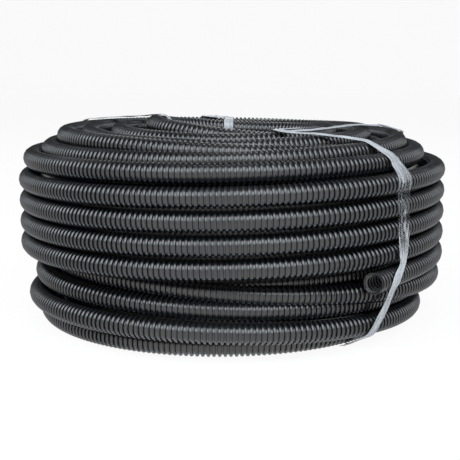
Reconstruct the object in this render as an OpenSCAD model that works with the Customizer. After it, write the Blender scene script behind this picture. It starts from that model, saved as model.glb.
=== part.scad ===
// Corrugated plastic conduit, wound in a coil that lies flat and is tied with clear film.
// The conduit is wound counter-clockwise seen from above. Each turn is two half turns, front and
// back, that meet on the coil's left (-X) and right (+X), so a turn is given by where it crosses
// those two sides. The free end leaves the outer turns at the front right.

/* [Conduit] */
// Outside diameter over the ribs
conduit_od = 20; // [16:0.5:24]
// Inside diameter of the clear bore, at the grooves
conduit_id = 14.4; // [10:0.1:15]
// Thickness of the corrugated wall
wall = 0.6; // [0.5:0.05:0.8]
// Distance from one rib to the next
rib_pitch = 5; // [4:0.1:6]
// Width of the groove's floor between two ribs
groove_w = 1.5; // [1:0.1:1.8]
// Slope of a rib's side, measured along the conduit
rib_flank = 0.4; // [0.2:0.05:0.5]

/* [Coil] */
// Outside diameter of the coil
coil_d = 448; // [420:1:600]
// Layers of conduit between the eye and the outside
layers = 5; // [4:1:6]
// Turns in the outer layer above the free end
outer_turns = 5; // [4:1:6]
// Gap between the turns of the outer layer
turn_gap = 1.5; // [0.5:0.1:2.5]
// Height of the free end's side of the first outer turn above the coil's underside
first_turn_z = 67.5; // [66:0.5:90]
// Distance by which the outer layer draws in at its top turn
top_draw_in = 5; // [0:0.5:8]
// Distance by which the lower turns have slid toward the front
low_slide = 14; // [8:0.5:18]
// Distance by which the turn under the free end stands back from it
first_low_back = 8; // [6:0.5:12]

/* [Free end] */
// Straight length that springs away from the outer turn
free_length = 70; // [40:1:90]
// Angle round the coil, forward of its right side, where the straight length leaves
leave_angle = 37.5; // [30:0.5:45]

/* [Film ties] */
// Width of the film, gathered to a strip
film_w = 12; // [8:1:20]
// Thickness of the gathered film
film_t = 0.6; // [0.4:0.1:1.2]
// Clearance between the film and the turns it bridges
film_gap = 0.5; // [0.4:0.05:0.8]

/* [Hidden] */
$fn = 96;

// Angles round the coil of the ties; the front one holds the free end down.
front_right_tie = -(leave_angle + 8.5);
back_right_tie = 33;
back_tie = 95;
left_tie = 160;

conduit_colour = [0.11, 0.115, 0.12];
film_colour = [0.86, 0.88, 0.9, 0.5];

// The coil stands on the film that passes under it.
floor_z = film_t + film_gap;
turn_r = conduit_od / 2;
groove_r = conduit_id / 2 + wall;
column_r = coil_d / 2 - turn_r;
turn_pitch = conduit_od + turn_gap;
layer_pitch = conduit_od * 0.925;
eye_column_r = column_r - (layers - 1) * layer_pitch;
first_z = floor_z + first_turn_z;
top_z = first_z + (outer_turns - 0.5) * turn_pitch;
eye_top_z = top_z + 0.4 * conduit_od;

// Where the outer turns cross the left and the right: [distance from axis, height].
function draw_in(turn) = turn < outer_turns ? 0 : top_draw_in;
function outer_left(turn) = [column_r - draw_in(turn), first_z + (turn - 0.5) * turn_pitch];
function outer_right(turn) = [column_r - draw_in(turn), first_z + turn * turn_pitch];

// The top layers spiral in to the eye: [inset, rise] in conduit diameters from the top of the column.
function top_at(step) = [column_r - step[0] * conduit_od, top_z + step[1] * conduit_od];
top_left = concat([outer_left(outer_turns)],
    [for (step = [[1.2, 0.45], [2.0, 1.1], [3.25, 1.2], [4.8, 1.23], [6.65, 1.6]]) top_at(step)]);
top_right = [for (step = [[1.1, 0.25], [2.0, 0.78], [2.95, 0.35], [3.85, 1.15], [5.65, 1.18], [6.65, 0.73]]) top_at(step)];

// The lower turns run down to the floor and in: [inset, height] in conduit diameters.
function low_at(step) = [column_r - step[0] * conduit_od, floor_z + step[1] * conduit_od];
low_left = [for (step = [[1.1, 3.3], [0.75, 2.38], [0.48, 1.27], [1.05, 0.5], [2.1, 0.5]]) low_at(step)];
low_right = [for (step = [[1.2, 3.25], [0.05, 2.1], [1.25, 1.75], [1.17, 0.72], [2.25, 0.5], [3.3, 0.5]]) low_at(step)];

// How far the middle of each half turn stands above the plane of its ends, in the same order.
top_front_crown = [0, -1.5, 2, -5, -3, 0];
top_back_crown = [0, 0, 0, -4, -8];
low_front_crown = [3.5, 2, 6, 0, 0];
next_low_slide = 0.3 * low_slide;
low_front_slide = [-first_low_back, next_low_slide, low_slide, low_slide, low_slide];
low_back_slide = [-first_low_back, -first_low_back, next_low_slide, low_slide, low_slide];

// Each half turn of the winding as [side, left crossing, right crossing, crown, slide to the front].
half_turns = [
    for (turn = [1:outer_turns - 1]) ["front", outer_left(turn), outer_right(turn), 0, 0],
    for (turn = [0:outer_turns - 1]) ["back", outer_left(turn + 1), outer_right(turn), 0, 0],
    for (i = [0:5]) ["front", top_left[i], top_right[i], top_front_crown[i], 0],
    for (i = [0:4]) ["back", top_left[i + 1], top_right[i], top_back_crown[i], 0],
    for (i = [0:4]) ["front", low_left[i], low_right[i + 1], low_front_crown[i], low_front_slide[i]],
    for (i = [0:4]) ["back", low_left[i], low_right[i], 0, low_back_slide[i]]
];

// Radius, sideways shift, middle height, tilt and lean of the ring that a half turn follows.
function ring_r(turn) = norm(turn[1] + turn[2] - [0, turn[1][1] * 2]) / 2;
function ring_shift(turn) = (turn[2][0] - turn[1][0]) / 2;
function ring_z(turn) = (turn[1][1] + turn[2][1]) / 2;
function ring_tilt(turn) = atan2(turn[2][1] - turn[1][1], turn[1][0] + turn[2][0]);
function ring_lean(turn) = (turn[0] == "front" ? -1 : 1) * asin(turn[3] / ring_r(turn));

// Puts its children in the plane of a half turn's ring.
module ring_plane(turn)
    translate([ring_shift(turn), -turn[4], ring_z(turn)])
    rotate([0, -ring_tilt(turn), 0])
    rotate([ring_lean(turn), 0, 0])
    children();

// A half turn stops short of both crossings, where a groove of the corrugation shows.
module half_turn(turn) {
    short = (groove_w / 2 + rib_flank) / ring_r(turn) * 180 / PI;
    ring_plane(turn)
    rotate([0, 0, (turn[0] == "front" ? 180 : 0) + short])
    rotate_extrude(angle = 180 - 2 * short)
    translate([ring_r(turn), 0])
    circle(r = turn_r);
}

// The groove that joins the half turns on both sides of a crossing, from one slide to the other.
module crossing(side, at, back_slide = 0, front_slide = 0)
    translate([side * at[0], -(back_slide + front_slide) / 2, at[1]])
    rotate([90, 0, 0])
    cylinder(r = groove_r, h = 2 * rib_pitch + front_slide - back_slide, center = true);

// The hidden layers as one turned body, with the turns that line the eye.
module wound_body() {
    body_top = top_z + 0.5 * conduit_od;
    eye_rows = floor((eye_top_z - floor_z - turn_r) / turn_pitch);
    rotate_extrude() {
        polygon([
            [eye_column_r, floor_z + 0.3 * conduit_od],
            [column_r - 2.6 * conduit_od, floor_z + 0.3 * conduit_od],
            [column_r - 2.2 * conduit_od, floor_z + 1.4 * conduit_od],
            [column_r - 2.2 * conduit_od, floor_z + 2.9 * conduit_od],
            [column_r - 0.3 * conduit_od, first_z + 0.5 * turn_pitch],
            [column_r - 0.3 * conduit_od, top_z - 1.2 * turn_pitch],
            [column_r - 1.1 * conduit_od, top_z + 0.1 * conduit_od],
            [column_r - 2.0 * conduit_od, body_top],
            [eye_column_r, body_top]
        ]);
        for (row = [0:eye_rows])
            translate([eye_column_r, floor_z + turn_r + row * (eye_top_z - floor_z - turn_r) / eye_rows])
            circle(r = turn_r);
    }
}

// The open end: corrugated wall all round a clear bore, cut through the crest of a rib.
module free_end() {
    crest_r = turn_r;
    grooves = floor((free_length - rib_pitch) / rib_pitch);
    bore_end = groove_w + rib_flank + wall;
    function groove_z(i) = free_length - (i + 0.5) * rib_pitch;
    rotate_extrude()
    polygon([
        [0, -rib_pitch], [groove_r, -rib_pitch], [groove_r, groove_w], [crest_r, groove_w + rib_flank],
        for (i = [grooves - 1:-1:0]) each [
            [crest_r, groove_z(i) - groove_w / 2 - rib_flank], [groove_r, groove_z(i) - groove_w / 2],
            [groove_r, groove_z(i) + groove_w / 2], [crest_r, groove_z(i) + groove_w / 2 + rib_flank]
        ],
        [crest_r, free_length], [crest_r - wall, free_length],
        for (i = [0:grooves - 1]) each [
            [crest_r - wall, groove_z(i) + groove_w / 2 + rib_flank + wall],
            [conduit_id / 2, groove_z(i) + groove_w / 2 + wall],
            [conduit_id / 2, groove_z(i) - groove_w / 2 - wall],
            [crest_r - wall, groove_z(i) - groove_w / 2 - rib_flank - wall]
        ],
        [crest_r - wall, bore_end], [0, bore_end]
    ]);
}

first_turn = ["front", outer_left(0), outer_right(0), 0, 0];

module first_arc() {
    ring_plane(first_turn)
    rotate([0, 0, -leave_angle]) {
        rotate_extrude(angle = leave_angle)
        translate([ring_r(first_turn), 0])
        circle(r = turn_r);
        translate([ring_r(first_turn), 0, 0])
        rotate([90, 0, 0])
        free_end();
    }
}

module conduit()
    color(conduit_colour)
    union() {
        rotate([0, 0, 45])
        wound_body();
        for (turn = half_turns)
            half_turn(turn);
        for (at = concat([for (turn = [1:outer_turns - 1]) outer_left(turn)], top_left))
            crossing(-1, at);
        for (at = concat([for (turn = [0:outer_turns - 1]) outer_right(turn)], top_right))
            crossing(1, at);
        for (i = [0:4]) {
            crossing(-1, low_left[i], low_back_slide[i], low_front_slide[i]);
            crossing(1, low_right[i], low_back_slide[i], low_back_slide[i]);
        }
        first_arc();
    }

// Where a half turn's centre line crosses a strip's edge: the strip points straight out from the axis
// at an angle round the coil, its edge lies a distance aside. Gives [distance out, height].
function turn_at(turn, angle, aside) =
    let (
        across = aside + ring_shift(turn) * sin(angle) + turn[4] * cos(angle),
        out = ring_shift(turn) * cos(angle) - turn[4] * sin(angle) + sqrt(pow(ring_r(turn), 2) - pow(across, 2)),
        forward = abs(out * sin(angle) + aside * cos(angle) + turn[4]) / ring_r(turn)
    )
    [out, plane_z(turn, out * cos(angle) - aside * sin(angle)) + turn[3] * forward];
function plane_z(turn, x) = ring_z(turn) + (x - ring_shift(turn)) * tan(ring_tilt(turn));

// The same for the first turn, which leaves the coil in a straight line past the leave angle.
function first_turn_at(angle, aside) =
    let (past = -angle - leave_angle, out = (column_r - aside * sin(past)) / cos(past))
    past < 0 ? turn_at(first_turn, angle, aside) :
    [out + turn_r / cos(past) - turn_r, plane_z(first_turn, out * cos(angle) - aside * sin(angle))];

// The outermost of some points, in order round them.
function leftness(a, b, c) = (b[0] - a[0]) * (c[1] - a[1]) - (b[1] - a[1]) * (c[0] - a[0]);
function next_corner(points, at, best, i = 0) =
    i == len(points) ? best :
    next_corner(points, at, points[i] != at && (best == at || leftness(at, best, points[i]) < 0) ? points[i] : best, i + 1);
function lowest(points, best, i = 0) =
    i == len(points) ? best :
    lowest(points, points[i][1] < best[1] || (points[i][1] == best[1] && points[i][0] < best[0]) ? points[i] : best, i + 1);
function corners_from(points, first, at, found) =
    let (next = next_corner(points, at, at))
    next == first ? found : corners_from(points, first, next, concat(found, [next]));
function corners(points) = let (first = lowest(points, points[0])) corners_from(points, first, first, [first]);

// Outline that lies at a distance outside some corners, with an arc round each corner.
function edge_angle(a, b) = atan2(b[1] - a[1], b[0] - a[0]);
function round_corners(points, distance) = [
    for (i = [0:len(points) - 1])
        let (
            n = len(points),
            from = edge_angle(points[(i + n - 1) % n], points[i]) - 90,
            turned = edge_angle(points[i], points[(i + 1) % n]) - 90 - from,
            sweep = turned < 0 ? turned + 360 : turned,
            steps = max(1, ceil(sweep / 12))
        )
        for (s = [0:steps])
            points[i] + distance / cos(sweep / steps / 2) * [cos(from + sweep * s / steps), sin(from + sweep * s / steps)]
];

// A closed strip of film drawn tight round the coil at one angle, clear of the turns at both its edges.
module film_tie(angle) {
    side = sin(angle) < 0 ? "front" : "back";
    turns = corners(concat(
        [for (turn = half_turns) if (turn[0] == side) for (aside = [-film_w / 2, 0, film_w / 2])
            turn_at(turn, angle, aside)],
        [if (side == "front") for (aside = [-film_w / 2, 0, film_w / 2]) first_turn_at(angle, aside)],
        [[eye_column_r, floor_z + turn_r], [eye_column_r, eye_top_z]]
    ));
    color(film_colour)
    rotate([0, 0, angle])
    rotate([90, 0, 0])
    translate([0, 0, -film_w / 2])
    linear_extrude(film_w)
    difference() {
        polygon(round_corners(turns, turn_r + film_gap + film_t));
        polygon(round_corners(turns, turn_r + film_gap));
    }
}

conduit();
film_tie(front_right_tie);  // film_tie_front_right
film_tie(back_right_tie);  // film_tie_back_right
film_tie(back_tie);  // film_tie_back
film_tie(left_tie);  // film_tie_left
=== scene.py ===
# %% [markdown]
# # A coil of corrugated conduit
#
# Corrugated conduit is a thin plastic tube with ribs all round it, so that it bends by hand and
# still guards the cables inside. It is sold wound up: some 50 m lie in layers round an open eye,
# and strips of clear stretch film hold the turns. One end is left free at the front right.
#
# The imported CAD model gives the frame: every size and place below is worked out from it.

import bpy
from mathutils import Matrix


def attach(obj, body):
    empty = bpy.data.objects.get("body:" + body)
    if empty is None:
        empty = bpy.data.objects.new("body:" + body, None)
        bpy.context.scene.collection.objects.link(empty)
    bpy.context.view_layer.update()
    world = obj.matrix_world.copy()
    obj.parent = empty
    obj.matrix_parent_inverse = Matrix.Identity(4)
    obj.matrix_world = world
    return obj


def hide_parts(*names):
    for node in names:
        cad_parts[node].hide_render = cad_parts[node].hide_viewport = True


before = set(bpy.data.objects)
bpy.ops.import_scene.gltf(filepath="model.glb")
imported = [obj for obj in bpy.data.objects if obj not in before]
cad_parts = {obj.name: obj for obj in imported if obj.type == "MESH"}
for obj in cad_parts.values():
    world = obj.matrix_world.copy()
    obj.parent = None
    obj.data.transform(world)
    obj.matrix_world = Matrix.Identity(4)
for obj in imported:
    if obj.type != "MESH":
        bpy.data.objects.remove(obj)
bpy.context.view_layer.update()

import math

import bpy
from mathutils import Matrix, Vector, noise

print("nodes:", sorted(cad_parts))

# %% [markdown]
# ## The camera
#
# A coil this size is looked at from about a metre away, a little above its top, with a lens twice
# as long as a normal one. The camera comes first, because everything is judged through it.

# %% Camera
CAMERA_PLACE = (-0.0019, -1.0304, 0.2675)
CAMERA_TILT = 10.19  # degrees below level
SENSOR_WIDTH = 36.0
FOCAL_LENGTH = 75.36

camera_data = bpy.data.cameras.new("camera")
camera_data.sensor_width = SENSOR_WIDTH
camera_data.lens = FOCAL_LENGTH
camera = bpy.data.objects.new("camera", camera_data)
camera.location = CAMERA_PLACE
camera.rotation_euler = (math.radians(90 - CAMERA_TILT), 0, 0)
bpy.context.scene.collection.objects.link(camera)
bpy.context.scene.camera = camera
print("camera", CAMERA_PLACE, "tilted down", CAMERA_TILT)

# %% [markdown]
# ## How the conduit lies
#
# A turn of the coil is two half turns, front and back, that meet on the coil's left and right. So a
# turn is given by two crossings: its distance from the axis and its height on each side. A half
# turn follows a slightly tilted ring through its two crossings, and the rings of a front and a back
# half meet smoothly. Some half turns bow up or sag a little in the middle, which is their crown, and
# the lower turns have slid toward the front. These are the CAD model's own sizes, in millimetres.

# %% Sizes of the conduit and places of its turns
MM = 0.001
CONDUIT_OD = 20.0
GROOVE_RADIUS = 7.8
WALL = 0.6
BORE_RADIUS = GROOVE_RADIUS - WALL
RIB_PITCH = 5.0
GROOVE_WIDTH = 1.5
RIB_FLANK = 0.4

FLOOR_Z = 1.1
COLUMN_RADIUS = 214.0
EYE_RADIUS = 140.0
TURN_PITCH = 21.5
FIRST_Z = FLOOR_Z + 67.5
OUTER_TURNS = 5
TOP_Z = FIRST_Z + (OUTER_TURNS - 0.5) * TURN_PITCH
EYE_TOP_Z = TOP_Z + 0.4 * CONDUIT_OD
TOP_DRAW_IN = 5.0


def stepped(steps, height):
    """Crossings from steps inward from the column and upward, in conduit diameters."""
    return [(COLUMN_RADIUS - CONDUIT_OD * inset, height + CONDUIT_OD * rise) for inset, rise in steps]


outer_left = [(COLUMN_RADIUS, FIRST_Z + (turn - 0.5) * TURN_PITCH) for turn in range(OUTER_TURNS)]
outer_left.append((COLUMN_RADIUS - TOP_DRAW_IN, TOP_Z))
outer_right = [(COLUMN_RADIUS, FIRST_Z + turn * TURN_PITCH) for turn in range(OUTER_TURNS)]
top_left = outer_left[-1:] + stepped(
    [(1.2, 0.45), (2.0, 1.1), (3.25, 1.2), (4.8, 1.23), (6.65, 1.6)], TOP_Z)
top_right = stepped(
    [(1.1, 0.25), (2.0, 0.78), (2.95, 0.35), (3.85, 1.15), (5.65, 1.18), (6.65, 0.73)], TOP_Z)
low_left = stepped([(1.1, 3.3), (0.75, 2.38), (0.48, 1.27), (1.05, 0.5), (2.1, 0.5)], FLOOR_Z)
low_right = stepped(
    [(1.2, 3.25), (0.05, 2.1), (1.25, 1.75), (1.17, 0.72), (2.25, 0.5), (3.3, 0.5)], FLOOR_Z)
# How far each half turn's middle stands above its crossings, and how far it has slid to the front.
TOP_CROWNS = {"front": [0, -1.5, 2, -5, -3, 0], "back": [0, 0, 0, -4, -8]}
LOW_CROWNS = {"front": [3.5, 2, 6, 0, 0], "back": [0, 0, 0, 0, 0]}
LOW_SLIDES = {"front": [-8, 4.2, 14, 14, 14], "back": [-8, -8, 4.2, 14, 14]}
print("outer turns rise from", outer_right[0][1], "to", top_left[0][1], "mm")

# %% [markdown]
# A stretch of the winding is a list of half turns, each with its side, its two crossings, its crown
# and its slide. It is sampled every two degrees. The angle runs counter-clockwise seen from above,
# from the coil's right: a back half turn is 0 to 180, and a front one is 180 to 360.

# %% Points along the winding
STEP = 2.0  # degrees


def ring_point(half, angle):
    """A point of a half turn's ring, in millimetres, at an angle in degrees."""
    side, left, right, crown, slide = half
    across, rise = left[0] + right[0], right[1] - left[1]
    radius, tilt = math.hypot(across, rise) / 2, math.atan2(rise, across)
    shift, middle = (right[0] - left[0]) / 2, (left[1] + right[1]) / 2
    along, forward = radius * math.cos(math.radians(angle)), math.sin(math.radians(angle))
    return Vector((shift + along * math.cos(tilt), radius * forward - slide,
                   middle + along * math.sin(tilt) + crown * abs(forward)))


def stretch_of(lefts, rights, side, crowns=None, slides=None):
    """The half turns that go through the crossings in turn, the first on the given side."""
    halves, left, right = [], 0, 0
    while left < len(lefts) and right < len(rights):
        count = left if side == "front" else right
        crown, slide = (table[side][count] if table else 0 for table in (crowns, slides))
        halves.append((side, lefts[left], rights[right], crown, slide))
        if side == "front":
            left, side = left + 1, "back"
        else:
            right, side = right + 1, "front"
    return halves


def sampled(half, first=0, last=180):
    """Points of a half turn between two angles past its start, without the last."""
    start = 180 if half[0] == "front" else 0
    steps = max(1, round((last - first) / STEP))
    return [ring_point(half, start + first + (last - first) * i / steps) for i in range(steps)]


def points_of(halves):
    """Points along some half turns, with the last."""
    end = 360 if halves[-1][0] == "front" else 180
    return [point for half in halves for point in sampled(half)] + [ring_point(halves[-1], end)]


outer_halves = stretch_of(outer_left[1:], outer_right, "back")
top_halves = stretch_of(top_left, top_right, "front", TOP_CROWNS)
low_halves = stretch_of(low_left, low_right, "back", LOW_CROWNS, LOW_SLIDES)
EYE_TURNS = 7
eye_rise = (EYE_TOP_Z - FLOOR_Z - CONDUIT_OD / 2) / EYE_TURNS
eye_left = [(EYE_RADIUS, FLOOR_Z + CONDUIT_OD / 2 + eye_rise * turn)
            for turn in range(EYE_TURNS + 1)]
eye_right = [(EYE_RADIUS, height + eye_rise / 2) for _, height in eye_left[:-1]]
eye_halves = stretch_of(eye_left, eye_right, "front")
print("half turns:", len(outer_halves), "outer,", len(top_halves), "top,", len(low_halves), "low and",
      len(eye_halves), "round the eye")

# %% [markdown]
# The first outer turn leaves the coil at the front right in a straight line, to the free end. The
# wound conduit starts a little way up that line, at the edge of a groove.

# %% The way to the free end
LEAVE_ANGLE = 37.5
FREE_LENGTH = 70.0
FREE_START = 8.25  # where the straight ribs begin, past the place where the conduit leaves
first_half = ("front", outer_left[0], outer_right[0], 0, 0)
leave = ring_point(first_half, -LEAVE_ANGLE)
just_before = ring_point(first_half, 0.01 - LEAVE_ANGLE)
outward = (leave - just_before).normalized()
mouth = leave + outward * FREE_LENGTH
outer_points = ([leave + outward * FREE_START] + sampled(first_half, 180 - LEAVE_ANGLE, 180)
                + points_of(outer_halves))
print("mouth at", tuple(round(v, 2) for v in mouth), "facing", tuple(round(v, 4) for v in outward))

# %% [markdown]
# ## One rib, wound by modifiers
#
# The corrugation is one short profile again and again: a groove's floor, a steep flank, a broad
# rounded crest and a flank down. It is drawn out once, ring by ring, from a circle. An Array
# modifier repeats it into a straight conduit, and a Curve modifier winds that along a path, as the
# real conduit is wound after it is made. Both are then applied.

# %% One rib of the corrugation
CREST_EDGE = 9.35
CREST_TOP = 10.0
SMOOTH_ANGLE = 40  # degrees; sharper edges stay sharp
MERGE_DISTANCE = 0.05
rib_profile = [(0, GROOVE_RADIUS), (GROOVE_WIDTH, GROOVE_RADIUS),
               (GROOVE_WIDTH + RIB_FLANK, CREST_EDGE), ((GROOVE_WIDTH + RIB_PITCH) / 2, CREST_TOP),
               (RIB_PITCH - RIB_FLANK, CREST_EDGE), (RIB_PITCH, GROOVE_RADIUS)]


def only(obj):
    """Selects one object alone and makes it active."""
    bpy.ops.object.select_all(action="DESELECT")
    obj.select_set(True)
    bpy.context.view_layer.objects.active = obj


def sleeve(name, profile, sides):
    """A round sleeve along +X, drawn out from ring to ring through (x, radius) in millimetres."""
    bpy.ops.object.select_all(action="DESELECT")
    x, radius = profile[0]
    bpy.ops.mesh.primitive_circle_add(vertices=sides, radius=radius * MM, location=(x * MM, 0, 0),
                                      rotation=(0, math.radians(90), 0))
    obj = bpy.context.object
    obj.name = name
    bpy.ops.object.transform_apply(location=True, rotation=True, scale=True)
    bpy.ops.object.mode_set(mode="EDIT")
    bpy.ops.mesh.select_all(action="SELECT")
    for next_x, next_radius in profile[1:]:
        bpy.ops.mesh.extrude_region_move(
            TRANSFORM_OT_translate={"value": ((next_x - x) * MM, 0, 0)})
        grow = next_radius / radius
        bpy.ops.transform.resize(value=(1, grow, grow), center_override=(next_x * MM, 0, 0))
        x, radius = next_x, next_radius
    bpy.ops.object.mode_set(mode="OBJECT")
    return obj


def map_round(obj, pitch):
    """A UV map with the way round the conduit as U and the way along one rib as V."""
    layer = obj.data.uv_layers.new(name="round_and_along")
    vertices = obj.data.vertices
    for face in obj.data.polygons:
        turns = [math.atan2(vertices[v].co.z, vertices[v].co.y) / math.tau for v in face.vertices]
        for loop, vertex, turn in zip(face.loop_indices, face.vertices, turns):
            if max(turns) - turn > 0.5:
                turn += 1
            layer.data[loop].uv = (turn, vertices[vertex].co.x / (pitch * MM))


def lengths_along(points):
    """How far along a line each of its points is."""
    lengths = [0]
    for a, b in zip(points, points[1:]):
        lengths.append(lengths[-1] + (b - a).length)
    return lengths


def path_curve(name, points):
    """A curve through points in millimetres, whose up side stays up."""
    data = bpy.data.curves.new(name, "CURVE")
    data.dimensions = "3D"
    data.twist_mode = "Z_UP"
    spline = data.splines.new("POLY")
    spline.points.add(len(points) - 1)
    for place, point in zip(spline.points, points):
        place.co = (*(point * MM), 1)
    obj = bpy.data.objects.new(name, data)
    bpy.context.scene.collection.objects.link(obj)
    return obj


def close_ends(obj):
    """Fills the open ends of a sleeve and turns its faces outwards."""
    only(obj)
    bpy.ops.object.mode_set(mode="EDIT")
    bpy.ops.mesh.select_all(action="DESELECT")
    bpy.ops.mesh.select_mode(type="VERT")
    bpy.ops.mesh.select_non_manifold(extend=False, use_wire=False, use_multi_face=False,
                                     use_non_contiguous=False, use_verts=False)
    bpy.ops.mesh.edge_face_add()
    bpy.ops.mesh.select_all(action="SELECT")
    bpy.ops.mesh.normals_make_consistent(inside=False)
    bpy.ops.object.mode_set(mode="OBJECT")


def wind(name, points, sides):
    """Corrugated conduit along a path, a whole number of ribs long, with closed ends."""
    length = lengths_along(points)[-1]
    ribs = round(length / RIB_PITCH)
    pitch = length / ribs
    stretch = pitch / RIB_PITCH
    obj = sleeve(name, [(x * stretch, radius) for x, radius in rib_profile], sides)
    map_round(obj, pitch)
    path = path_curve(name + "_path", points)
    repeat = obj.modifiers.new("repeat the rib", "ARRAY")
    repeat.count = ribs
    repeat.use_relative_offset = False
    repeat.use_constant_offset = True
    repeat.constant_offset_displace = (pitch * MM, 0, 0)
    repeat.use_merge_vertices = True
    repeat.merge_threshold = MERGE_DISTANCE * MM
    bend = obj.modifiers.new("wind it", "CURVE")
    bend.object = path
    bend.deform_axis = "POS_X"
    only(obj)
    for modifier in ("repeat the rib", "wind it"):
        bpy.ops.object.modifier_apply(modifier=modifier)
    bpy.data.objects.remove(path)
    close_ends(obj)
    only(obj)
    bpy.ops.object.shade_smooth_by_angle(angle=math.radians(SMOOTH_ANGLE))
    triangles = sum(len(face.vertices) - 2 for face in obj.data.polygons)
    print(name, ribs, "ribs", round(length), "mm", triangles, "triangles")
    return obj


# %% [markdown]
# ## The wound turns
#
# The outer turns rise from the free end to the top, and the top turns spiral in from there. Below
# the free end, turns of the layer beneath run down to the floor and in to the eye, and the eye is
# lined with turns that climb it. A stretch of one more turn lies deep beside the free end, where
# the outer layer stands open.

# %% Wind the turns
SIDES = 16
EYE_SIDES = 12
DEEP_RADIUS = 186
deep_half = ("front", (DEEP_RADIUS, FIRST_Z - 5), (DEEP_RADIUS, FIRST_Z - 2), 0, 0)
deep_points = [ring_point(deep_half, angle) for angle in range(246, 327, 2)]
half_way = len(outer_points) // 2
outer_low = wind("outer_turns_lower", outer_points[:half_way + 1], SIDES)
outer_high = wind("outer_turns_upper", outer_points[half_way:], SIDES)
top_turns = wind("top_turns", points_of(top_halves), SIDES)
low_turns = wind("lower_turns", points_of(low_halves), SIDES)
eye_turns = wind("eye_turns", points_of(eye_halves), EYE_SIDES)
turn_beneath = wind("turn_beneath", deep_points, SIDES)
turns = [outer_low, outer_high, top_turns, low_turns, eye_turns, turn_beneath]

# %% [markdown]
# The layers between cannot be seen, except as darkness between the turns. One turned core fills
# their place: a profile spun round the coil's axis.

# %% Core in place of the hidden layers
# Distance from the axis and height of its corners, each well inside the turns that hide it.
core_profile = [(141, 7.5), (161, 7.5), (180, 26), (183, 45), (183, 66), (206, 80), (206, 140),
                (191, 167), (173, 174.5), (141, 174.5)]
CORE_SIDES = 96
bpy.ops.object.select_all(action="DESELECT")
bpy.ops.mesh.primitive_circle_add(vertices=len(core_profile), radius=0.01)
core = bpy.context.object
core.name = "hidden_layers"
for vertex, (radius, height) in zip(core.data.vertices, core_profile):
    vertex.co = (radius * MM, 0, height * MM)
bpy.ops.object.mode_set(mode="EDIT")
bpy.ops.mesh.select_all(action="SELECT")
bpy.ops.mesh.spin(steps=CORE_SIDES, angle=math.tau, center=(0, 0, 0), axis=(0, 0, 1))
bpy.ops.mesh.select_all(action="SELECT")
bpy.ops.mesh.remove_doubles(threshold=0.01 * MM)
bpy.ops.mesh.normals_make_consistent(inside=False)
bpy.ops.object.mode_set(mode="OBJECT")
print("core faces", len(core.data.polygons))

# %% [markdown]
# ## The free end
#
# The conduit's outer end springs a little way off the coil, and its square-cut mouth shows the thin
# wall: every rib outside is a hollow inside. So the sleeve's profile runs out along the outside to
# the mouth, over the cut edge, and back along the inside.

# %% The free end and its open mouth
END_SIDES = 40
MOUTH_X = FREE_LENGTH - FREE_START
RIBS_TO_MOUTH = 12
RIB_WIDTH = RIB_PITCH - GROOVE_WIDTH
HOLLOW_INSET = 0.1  # the hollow behind a rib is narrower than the rib, with gentler flanks
HOLLOW_FLANK = 0.5
end_rib_outside = [(0, GROOVE_RADIUS), (RIB_FLANK, CREST_EDGE), (RIB_WIDTH / 2, CREST_TOP),
                   (RIB_WIDTH - RIB_FLANK, CREST_EDGE), (RIB_WIDTH, GROOVE_RADIUS)]
end_rib_inside = [(HOLLOW_INSET, BORE_RADIUS), (HOLLOW_INSET + HOLLOW_FLANK, CREST_EDGE - WALL),
                  (RIB_WIDTH / 2, CREST_TOP - WALL),
                  (RIB_WIDTH - HOLLOW_INSET - HOLLOW_FLANK, CREST_EDGE - WALL),
                  (RIB_WIDTH - HOLLOW_INSET, BORE_RADIUS)]


def ribbed(rib):
    """A rib's profile again and again up to the mouth, which cuts the last rib at its crest."""
    return [(i * RIB_PITCH + x, radius) for i in range(RIBS_TO_MOUTH + 1) for x, radius in rib
            if i * RIB_PITCH + x <= MOUTH_X]


free_end = sleeve("free_end", ribbed(end_rib_outside) + ribbed(end_rib_inside)[::-1], END_SIDES)
map_round(free_end, RIB_PITCH)
close_ends(free_end)
sideways = Vector((0, 0, 1)).cross(outward).normalized()
turn_to_end = Matrix((outward, sideways, outward.cross(sideways))).transposed().to_4x4()
free_end.matrix_world = Matrix.Translation((leave + outward * FREE_START) * MM) @ turn_to_end
bpy.ops.object.transform_apply(location=True, rotation=True, scale=True)
bpy.ops.object.shade_smooth_by_angle(angle=math.radians(SMOOTH_ANGLE))
print("free end faces", len(free_end.data.polygons))

# %% [markdown]
# ## Film ties
#
# Stretch film pulled into a strip goes right round the section of the coil: over the turns, down
# into the eye and back underneath. It touches only the turns that stand proud, so it lies on the
# outline drawn tight round the turns' sections. That outline is worked out at every degree, and a
# place on the film is then a share of the way round it, at an angle round the coil.

# %% The tight outline round the coil's section
FILM_LIFT = 0.7
FORM_POINTS = 240
CORNER_STEP = 8  # degrees, where the outline bends round a turn
FREE_SPAN = 40  # degrees forward from where the conduit leaves, where a tie meets the free end
SEARCH_STEPS = 6
NEARBY = 0.002  # share of the way round, to find the film's direction


def crossed_at(half, angle):
    """Distance and height of a half turn's centre where it crosses an angle in degrees."""
    at = angle
    for _ in range(SEARCH_STEPS):
        point = ring_point(half, at)
        at += angle - math.degrees(math.atan2(point.y, point.x)) % 360
    return math.hypot(point.x, point.y), point.z


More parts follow.
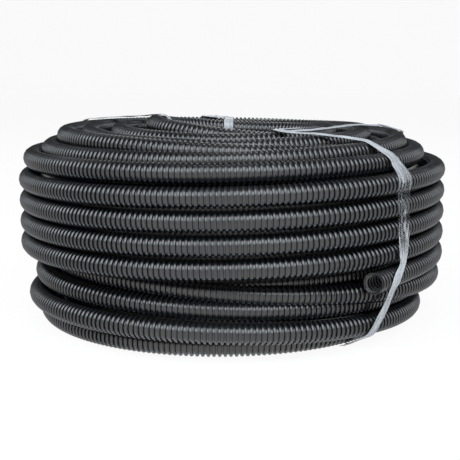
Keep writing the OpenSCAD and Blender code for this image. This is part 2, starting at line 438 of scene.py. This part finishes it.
def section_at(angle):
    """Distance and height of every visible turn's centre at an angle in degrees, in millimetres."""
    angle %= 360
    side = "front" if angle > 180 else "back"
    here = [crossed_at(half, angle) for half in outer_halves + top_halves + low_halves
            if half[0] == side]
    past = 360 - angle - LEAVE_ANGLE
    if side == "front" and past < 0:
        here.append(crossed_at(first_half, angle))
    elif side == "front" and past < FREE_SPAN:
        point = leave + outward * COLUMN_RADIUS * math.tan(math.radians(past))
        slanted = CONDUIT_OD / 2 * (1 / math.cos(math.radians(past)) - 1)
        here.append((math.hypot(point.x, point.y) + slanted, point.z))
    return here + [(EYE_RADIUS, FLOOR_Z + CONDUIT_OD / 2), (EYE_RADIUS, EYE_TOP_Z)]


def outline(points):
    """The corners of the tight outline round some points, counter-clockwise."""
    points = sorted(set(points))

    def side(points):
        kept = []
        for p in points:
            while len(kept) > 1 and (
                    (kept[-1][0] - kept[-2][0]) * (p[1] - kept[-2][1])
                    - (kept[-1][1] - kept[-2][1]) * (p[0] - kept[-2][0])) <= 0:
                kept.pop()
            kept.append(p)
        return kept[:-1]
    return side(points) + side(points[::-1])


def even_steps(lengths, count):
    """Where a number of even steps fall on a line: the point before, and the share past it."""
    k = 0
    for i in range(count + 1):
        target = lengths[-1] * i / count
        while k < len(lengths) - 2 and lengths[k + 1] < target:
            k += 1
        yield k, (target - lengths[k]) / max(lengths[k + 1] - lengths[k], 1e-9)


def film_loop(angle):
    """Evenly spaced points of the film's outline, from the foot of the eye out and round."""
    corners = outline(section_at(angle))
    reach = CONDUIT_OD / 2 + FILM_LIFT
    loop = []
    for i, corner in enumerate(corners):
        before, after = corners[i - 1], corners[(i + 1) % len(corners)]
        first = math.atan2(corner[1] - before[1], corner[0] - before[0]) - math.pi / 2
        last = math.atan2(after[1] - corner[1], after[0] - corner[0]) - math.pi / 2
        while last < first:
            last += math.tau
        steps = max(1, math.ceil((last - first) / math.radians(CORNER_STEP)))
        for s in range(steps + 1):
            turned = first + (last - first) * s / steps
            loop.append(Vector((corner[0] + reach * math.cos(turned),
                                corner[1] + reach * math.sin(turned))))
    loop.append(loop[0])
    lengths = lengths_along(loop)
    even = [loop[k].lerp(loop[k + 1], part) for k, part in even_steps(lengths, FORM_POINTS)]
    return even, lengths[-1]


forms = {}


def form_at(degree):
    """The film's outline at a whole degree, worked out once."""
    if degree not in forms:
        forms[degree] = film_loop(degree)
    return forms[degree]


def on_form(way, angle):
    """Distance and height of the film at a share of the way round and an angle in degrees."""
    low = math.floor(angle)
    places = []
    for degree in (low, low + 1):
        even = form_at(degree)[0]
        step = (way % 1) * FORM_POINTS
        i = min(int(step), FORM_POINTS - 1)
        places.append(even[i].lerp(even[i + 1], step - i))
    return places[0].lerp(places[1], angle - low)


def film_place(way, angle, lift=0):
    """A point of the film in millimetres, lifted a little off the outline."""
    here, before, after = (on_form(way + d, angle) for d in (0, -NEARBY, NEARBY))
    along = (after - before).normalized()
    distance, height = here.x + along.y * lift, here.y - along.x * lift
    turned = math.radians(angle)
    return Vector((distance * math.cos(turned), distance * math.sin(turned), height))


for angle in (-46, 33, 95, 160):
    print("film outline at", angle, "is", round(form_at(angle)[1]), "mm round")

# %% [markdown]
# Each tie wanders a little as it goes round, and two of them come together on the loose inner loop.
# A route is a list of stations: a share of the way round, the angle there, the strip's width, and
# how far it is bunched, from 0 where the film lies open and clear to 1 where it is gathered white.
# It runs smoothly through the stations and back to the first.

# %% Routes of the ties
TIE_ROUTES = {
    "film_tie_front_right": [
        (0.00, -58, 10, 0.9), (0.14, -58, 11, 0.9), (0.28, -58, 11, 0.9), (0.40, -57, 12, 0.9),
        (0.47, -54, 11, 1.0), (0.52, -51.5, 11, 1.0), (0.57, -50, 11, 1.0), (0.604, -46.5, 12, 1.0),
        (0.635, -45.7, 17, 0.3), (0.68, -45.7, 19, 0.05), (0.72, -45.5, 19, 0.1), (0.75, -44.3, 18, 0.45),
        (0.775, -43.2, 14, 0.75), (0.80, -44, 11, 0.9), (0.83, -45.5, 9, 1.0), (0.86, -48, 7, 1.0),
        (0.892, -56, 5, 1.0), (0.924, -64, 4, 1.0), (0.96, -66, 6, 1.0)],
    "film_tie_back_right": [
        (0.00, -30, 9, 0.9), (0.14, 5, 10, 0.8), (0.28, 28, 11, 0.8), (0.42, 36, 12, 0.6),
        (0.56, 38, 12, 0.5), (0.68, 38, 12, 0.6), (0.76, 34, 9, 0.8), (0.82, 20, 6, 1.0),
        (0.87, -6, 4, 1.0), (0.918, -25, 4, 1.0), (0.930, -46, 4, 1.0), (0.936, -62, 5, 1.0),
        (0.97, -60, 6, 1.0)],
    "film_tie_back": [
        (0.00, 92, 10, 0.9), (0.20, 95, 12, 0.7), (0.40, 96, 12, 0.5), (0.60, 97, 13, 0.4),
        (0.78, 98, 16, 0.8), (0.90, 99, 22, 0.9), (0.94, 97, 16, 1.0), (0.97, 91, 7, 1.0)],
    "film_tie_left": [
        (0.00, 160, 12, 0.7), (0.20, 161, 12, 0.6), (0.40, 160, 13, 0.4), (0.60, 159, 14, 0.3),
        (0.78, 158, 12, 0.6), (0.90, 157, 9, 0.9), (0.95, 152, 12, 0.7)],
}
FINE = 30  # steps from one station to the next


def smooth_route(route):
    """Fine steps along a route's smooth closed line: way, angle, width and bunching."""
    count, line = len(route), []
    for i in range(count):
        rows = []
        for k in range(i - 1, i + 3):
            way, *others = route[k % count]
            rows.append([way + k // count, *others])
        for step in range(FINE):
            t = step / FINE
            line.append([0.5 * (2 * q + (r - p) * t + (2 * p - 5 * q + 4 * r - s) * t * t
                                + (3 * q - p - 3 * r + s) * t**3) for p, q, r, s in zip(*rows)])
    return line + [[line[0][0] + 1] + line[0][1:]]


def evenly(line, count):
    """The same line in a number of even steps over the film's surface."""
    lengths = lengths_along([film_place(way, angle) for way, angle, *_ in line])
    even = [[a + (b - a) * part for a, b in zip(line[k], line[k + 1])]
            for k, part in even_steps(lengths, count)]
    return even, lengths[-1]


print("stations", {name: len(route) for name, route in TIE_ROUTES.items()})

# %% [markdown]
# A tie is a long grid laid along its route. Pulling the film into a strip leaves folds that run
# along it, deeper where it is bunched, so the grid's points rise and fall across the strip with a
# noise drawn out along it. A bunched strip is also thicker in its middle, and its edges waver.
# Solidify then gives the sheet its thickness.

# %% Lay the film
ROWS = 420
COLUMNS = 16
FOLD_LENGTH = 28
FOLD_COUNT = 5  # folds across an open strip; a bunched one has twice as many
OPEN_LIFT = 0.15
BUNCHED_LIFT = 1.4
MIDDLE_LIFT = 0.6
EDGE_LENGTH = 17
EDGE_WAVER = 0.3  # share of the strip's width
SHEET_THICKNESS = 0.15


def lay_film(name, route, seed):
    """A tie's crinkled strip of film along its route, from a grid."""
    bpy.ops.object.select_all(action="DESELECT")
    bpy.ops.mesh.primitive_grid_add(x_subdivisions=COLUMNS, y_subdivisions=ROWS, size=1)
    obj = bpy.context.object
    obj.name = name
    bunched = obj.data.attributes.new("bunched", "FLOAT", "POINT")
    line, length = evenly(smooth_route(route), ROWS)
    for vertex in obj.data.vertices:
        aside, row = vertex.co.x, round((vertex.co.y + 0.5) * ROWS)
        way, angle, width, bunch = line[row]
        before, after = line[max(row - 1, 0)], line[min(row + 1, ROWS)]
        if row in (0, ROWS):
            before, after = [line[-2][0] - 1] + line[-2][1:], line[1]
            way, angle, width, bunch = line[0]
        around = form_at(round(angle))[1]
        out = on_form(way, angle).x
        climb = (after[0] - before[0]) * around
        swing = math.radians(after[1] - before[1]) * out
        step = math.hypot(climb, swing)
        along = length * (row % ROWS) / ROWS
        fold = noise.noise((aside * (FOLD_COUNT + FOLD_COUNT * bunch) + seed, along / FOLD_LENGTH, 0))
        edge = noise.noise((along / EDGE_LENGTH, seed, 2.0 if aside > 0 else 5.0))
        reach = aside * width * (1 + EDGE_WAVER * edge)
        lift = ((OPEN_LIFT + BUNCHED_LIFT * bunch * bunch) * (fold + 0.5)
                + MIDDLE_LIFT * bunch * (1 - 4 * aside * aside))
        vertex.co = MM * film_place(way - reach * swing / step / around,
                                    angle + math.degrees(reach * climb / step / out), max(lift, 0))
        bunched.data[vertex.index].value = max(0, min(1, bunch))
    bpy.ops.object.mode_set(mode="EDIT")
    bpy.ops.mesh.select_all(action="SELECT")
    bpy.ops.mesh.remove_doubles(threshold=0.02 * MM)
    bpy.ops.mesh.normals_make_consistent(inside=False)
    bpy.ops.object.mode_set(mode="OBJECT")
    skin = obj.modifiers.new("thickness", "SOLIDIFY")
    skin.thickness = SHEET_THICKNESS * MM
    skin.offset = 0
    bpy.ops.object.modifier_apply(modifier="thickness")
    bpy.ops.object.shade_smooth()
    print(name, "faces", len(obj.data.polygons))
    return obj


ties = {name: lay_film(name + "_film", route, 3.0 * i)
        for i, (name, route) in enumerate(TIE_ROUTES.items())}

# %% [markdown]
# ## The floor and the light
#
# A plain white floor, with a low white wall far round it. Both are white to the camera, in
# reflections and through the film, and the floor keeps a faint shadow of the coil. One very wide
# lamp hangs in front and above, so that each rib shows a long grey bar and the grooves stay black.
# Three smaller ones light the sides and the back.

# %% Floor and lamps
WHITENESS = 0.93  # share of plain white in the floor and the wall, where they are seen
FILL_LIGHT = 0.16
STAGE_RADIUS = 6
STAGE_SIDES = 64
WALL_HEIGHT = 1.8
DAYLIGHT = (0.9, 0.95, 1.0)
LAMP_TARGET = (0, 0, 0.1)


def linear(hex_colour):
    """An sRGB hex colour as linear values with alpha 1."""
    values = [int(hex_colour[i:i + 2], 16) / 255 for i in (1, 3, 5)]
    return [v / 12.92 if v <= 0.04045 else ((v + 0.055) / 1.055) ** 2.4 for v in values] + [1.0]


def add_node(tree, kind, settings=None, inputs=None, links=None):
    """Adds a node, with its settings, its input values and what its inputs are linked from."""
    node = tree.nodes.new(kind)
    for key, value in (settings or {}).items():
        setattr(node, key, value)
    for key, value in (inputs or {}).items():
        node.inputs[key].default_value = value
    for key, source in (links or {}).items():
        tree.links.new(source, node.inputs[key])
    return node


def new_material(name):
    """A material with an empty node tree, and that tree."""
    material = bpy.data.materials.new(name)
    material.use_nodes = True
    material.node_tree.nodes.clear()
    return material, material.node_tree


def seen_directly(tree):
    """1 for rays from the camera, off a mirror or through glass, and 0 for others."""
    path = add_node(tree, "ShaderNodeLightPath")
    seen = path.outputs["Is Camera Ray"]
    for ray in ("Is Glossy Ray", "Is Transmission Ray"):
        either = add_node(tree, "ShaderNodeMath", {"operation": "MAXIMUM"},
                          links={0: seen, 1: path.outputs[ray]})
        seen = either.outputs[0]
    return seen


paper_material, tree = new_material("white_studio_paper")
paper = add_node(tree, "ShaderNodeBsdfDiffuse", inputs={"Color": linear("#ffffff")})
white = add_node(tree, "ShaderNodeEmission", inputs={"Color": linear("#ffffff"), "Strength": 1.0})
share = add_node(tree, "ShaderNodeMath", {"operation": "MULTIPLY"}, {1: WHITENESS},
                 {0: seen_directly(tree)})
mixed = add_node(tree, "ShaderNodeMixShader",
                 links={0: share.outputs[0], 1: paper.outputs[0], 2: white.outputs[0]})
add_node(tree, "ShaderNodeOutputMaterial", links={"Surface": mixed.outputs[0]})

bpy.ops.object.select_all(action="DESELECT")
bpy.ops.mesh.primitive_circle_add(vertices=STAGE_SIDES, radius=STAGE_RADIUS, fill_type="NGON",
                                  location=(0, 0, 0))
floor = bpy.context.object
floor.name = "floor"
bpy.ops.object.select_all(action="DESELECT")
bpy.ops.mesh.primitive_cylinder_add(vertices=STAGE_SIDES, radius=STAGE_RADIUS, depth=WALL_HEIGHT,
                                    end_fill_type="NOTHING", location=(0, 0, WALL_HEIGHT / 2))
wall = bpy.context.object
wall.name = "wall"
for piece in (floor, wall):
    piece.data.materials.append(paper_material)

world = bpy.data.worlds.new("studio")
bpy.context.scene.world = world
world.use_nodes = True
world.node_tree.nodes.clear()
background = add_node(world.node_tree, "ShaderNodeBackground",
                      inputs={"Color": linear("#ffffff"), "Strength": FILL_LIGHT})
add_node(world.node_tree, "ShaderNodeOutputWorld", links={"Surface": background.outputs[0]})


def soft_lamp(name, place, size, watts):
    """A wide lamp that faces the coil."""
    data = bpy.data.lights.new(name, "AREA")
    data.shape = "RECTANGLE"
    data.size, data.size_y = size
    data.energy = watts
    data.color = DAYLIGHT
    lamp = bpy.data.objects.new(name, data)
    lamp.location = place
    facing = Vector(LAMP_TARGET) - Vector(place)
    lamp.rotation_euler = facing.to_track_quat("-Z", "Y").to_euler()
    bpy.context.scene.collection.objects.link(lamp)


soft_lamp("lamp_in_front", (-0.2, -1.25, 1.65), (3.0, 1.6), 58)
soft_lamp("lamp_left", (-1.9, -0.5, 1.3), (1.8, 1.4), 15)
soft_lamp("lamp_right", (1.9, -0.5, 1.3), (1.8, 1.4), 15)
soft_lamp("lamp_behind", (0.3, 1.9, 1.3), (2.0, 0.8), 8)

# %% [markdown]
# ## Black polyethylene
#
# The conduit is extruded in black polyethylene and moulded into ribs by running half moulds. The
# skin is satin, with a faint mottle from the mould, and the half moulds leave a fine raised line
# along both sides of the conduit. The line is a real bump, and the light it catches on every rib
# is a painted highlight: a paler grey painted along it.

# %% Material of the conduit
PARTING_LINE = 216  # degrees round the conduit's section, out and a little down
SEAM_WIDTH = 0.011  # share of the way round, about 0.7 mm
SEAM_HEIGHT = 3.0  # times the grain's


def conduit_skin(name, seam_degrees):
    """Satin black plastic with its parting lines at an angle round the section, each a bump with a
    painted highlight.
    """
    material, tree = new_material(name)
    spot = add_node(tree, "ShaderNodeTexCoord")
    mottle = add_node(tree, "ShaderNodeTexNoise", inputs={"Scale": 1 / (9 * MM), "Detail": 3.0},
                      links={"Vector": spot.outputs["Object"]})
    grain = add_node(tree, "ShaderNodeTexNoise", inputs={"Scale": 1 / (0.8 * MM), "Detail": 2.0},
                     links={"Vector": spot.outputs["Object"]})
    colour = add_node(tree, "ShaderNodeMix", {"data_type": "RGBA"},
                      {6: linear("#05060a"), 7: linear("#0b0d13")}, {"Factor": mottle.outputs[0]})
    rough = add_node(tree, "ShaderNodeMapRange", inputs={"To Min": 0.22, "To Max": 0.40},
                     links={"Value": mottle.outputs[0]})
    uv = add_node(tree, "ShaderNodeUVMap", {"uv_map": "round_and_along"})
    parts = add_node(tree, "ShaderNodeSeparateXYZ", links={0: uv.outputs[0]})
    turned = add_node(tree, "ShaderNodeMath", {"operation": "SUBTRACT"}, {1: seam_degrees / 360},
                      {0: parts.outputs[0]})
    nearest = add_node(tree, "ShaderNodeMath", {"operation": "PINGPONG"}, {1: 0.25},
                       {0: turned.outputs[0]})
    # the parting lines' mask: it raises the real bump and places the painted highlight
    seam_and_painted_highlight_mask = add_node(tree, "ShaderNodeMapRange",
                    inputs={"From Min": 0.0, "From Max": SEAM_WIDTH, "To Min": 1.0, "To Max": 0.0},
                    links={"Value": nearest.outputs[0]})
    # painted highlight: the light the parting lines catch, painted as a paler grey #565b63 along them
    colour_with_painted_seam_highlight = add_node(tree, "ShaderNodeMix", {"data_type": "RGBA"}, {7: linear("#565b63")},
                   {"Factor": seam_and_painted_highlight_mask.outputs[0], 6: colour.outputs[2]})
    height = add_node(tree, "ShaderNodeMath", {"operation": "MULTIPLY_ADD"}, {1: SEAM_HEIGHT},
                      {0: seam_and_painted_highlight_mask.outputs[0], 2: grain.outputs[0]})
    bump = add_node(tree, "ShaderNodeBump", inputs={"Strength": 0.25, "Distance": 0.1 * MM},
                    links={"Height": height.outputs[0]})
    shader = add_node(tree, "ShaderNodeBsdfPrincipled",
                      inputs={"IOR": 1.52, "Specular IOR Level": 1.0},
                      links={"Base Color": colour_with_painted_seam_highlight.outputs[2], "Roughness": rough.outputs[0],
                             "Normal": bump.outputs[0]})
    add_node(tree, "ShaderNodeOutputMaterial", links={"Surface": shader.outputs[0]})
    return material


wound_material = conduit_skin("black_moulded_polyethylene", PARTING_LINE)
end_material = conduit_skin("black_moulded_polyethylene_end", 180 - PARTING_LINE)
for obj in turns + [core, free_end]:
    obj.data.materials.clear()
    obj.data.materials.append(end_material if obj == free_end else wound_material)

# %% [markdown]
# ## Clear stretch film
#
# The film is linear low-density polyethylene, cast thin and glossy. One layer is nearly clear, with
# faint streaks along its stretch. Where many layers are gathered they scatter the light, and the
# strip turns milky white. Along the creases the film is paler and more opaque. This is partly the
# milkiness of folded film and partly a painted highlight standing in for the glints on the creases.

# %% Material of the film
film_material, tree = new_material("clear_stretch_film")
uv = add_node(tree, "ShaderNodeUVMap")
streaked = add_node(tree, "ShaderNodeMapping", inputs={"Scale": (9.0, 22.0, 1.0)},
                    links={"Vector": uv.outputs[0]})
streaks_and_painted_glints = add_node(tree, "ShaderNodeTexNoise", inputs={"Scale": 1.0, "Detail": 1.5, "Roughness": 0.6},
                   links={"Vector": streaked.outputs[0]})
patched = add_node(tree, "ShaderNodeMapping",
                   inputs={"Scale": (1.6, 34.0, 1.0), "Rotation": (0, 0, 0.01)},
                   links={"Vector": uv.outputs[0]})
patches = add_node(tree, "ShaderNodeTexNoise",
                   inputs={"Scale": 1.0, "Detail": 2.5, "Distortion": 0.6},
                   links={"Vector": patched.outputs[0]})
cloudy = add_node(tree, "ShaderNodeMapRange",
                  inputs={"From Min": 0.56, "From Max": 0.64, "To Min": 0.0, "To Max": 0.3},
                  links={"Value": patches.outputs[0]})
gathered = add_node(tree, "ShaderNodeAttribute", {"attribute_name": "bunched"})
# the crease streaks make the ridges more opaque: partly folded film's milkiness, partly painted glints
layers = add_node(tree, "ShaderNodeMath", {"operation": "MULTIPLY_ADD"}, {1: 0.85},
                  {0: gathered.outputs["Fac"], 2: streaks_and_painted_glints.outputs[0]})
scattering = add_node(tree, "ShaderNodeMath", {"operation": "ADD"},
                      links={0: layers.outputs[0], 1: cloudy.outputs[0]})
cover = add_node(tree, "ShaderNodeMapRange",
                 inputs={"From Min": 0.6, "From Max": 1.2, "To Min": 0.03, "To Max": 0.94},
                 links={"Value": scattering.outputs[0]})
# paler grey on the crease ridges and darker in their troughs: partly the film's streaks, partly painted
# glints
tint_with_painted_glints = add_node(tree, "ShaderNodeMix", {"data_type": "RGBA"},
                {6: linear("#7d8288"), 7: linear("#d4d7da")}, {"Factor": streaks_and_painted_glints.outputs[0]})
crease = add_node(tree, "ShaderNodeBump", inputs={"Strength": 0.5, "Distance": 0.4 * MM},
                  links={"Height": streaks_and_painted_glints.outputs[0]})
shader = add_node(tree, "ShaderNodeBsdfPrincipled", inputs={"IOR": 1.5, "Roughness": 0.16},
                  links={"Base Color": tint_with_painted_glints.outputs[2], "Alpha": cover.outputs[0],
                         "Normal": crease.outputs[0]})
add_node(tree, "ShaderNodeOutputMaterial", links={"Surface": shader.outputs[0]})
for film in ties.values():
    film.data.materials.clear()
    film.data.materials.append(film_material)

# %% Place every piece in the model
for obj in turns + [core, free_end]:
    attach(obj, "root")
    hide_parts("conduit")
for node_name, film in ties.items():
    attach(film, "root")
    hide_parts(node_name)

bpy.context.scene.view_settings.view_transform = "Standard"
